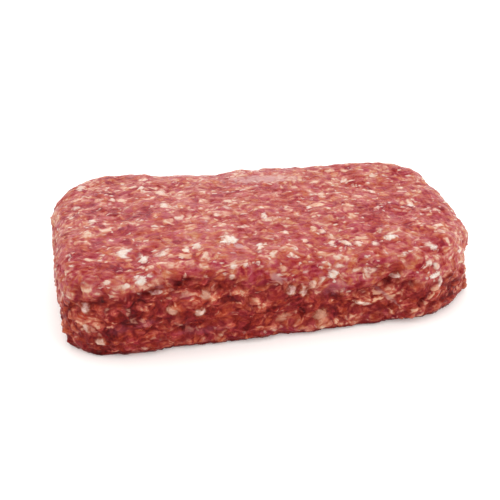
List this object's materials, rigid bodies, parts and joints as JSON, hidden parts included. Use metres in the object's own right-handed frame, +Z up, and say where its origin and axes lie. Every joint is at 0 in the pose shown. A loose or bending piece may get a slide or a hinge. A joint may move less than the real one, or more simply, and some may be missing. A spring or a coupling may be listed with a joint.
{
  "type": "minced meat block",
  "caption": "Low slab of raw minced meat, round cornered, pressed smooth on top, with lumpy sides, a flat underside and ragged bits along its foot.",
  "frame": {"origin": "centre of the box seen from above, at the height of the flat underside", "axes": "+X along the slab's long side, towards its lower right end; +Y towards the back; +Z up"},
  "size_m": [0.2226, 0.1276, 0.0441],
  "materials": {
    "raw_mince": "moist, half gloss, speckled with white fat"
  },
  "bodies": {
    "root": {"mince_block": "raw_mince"}
  },
  "joints": []
}
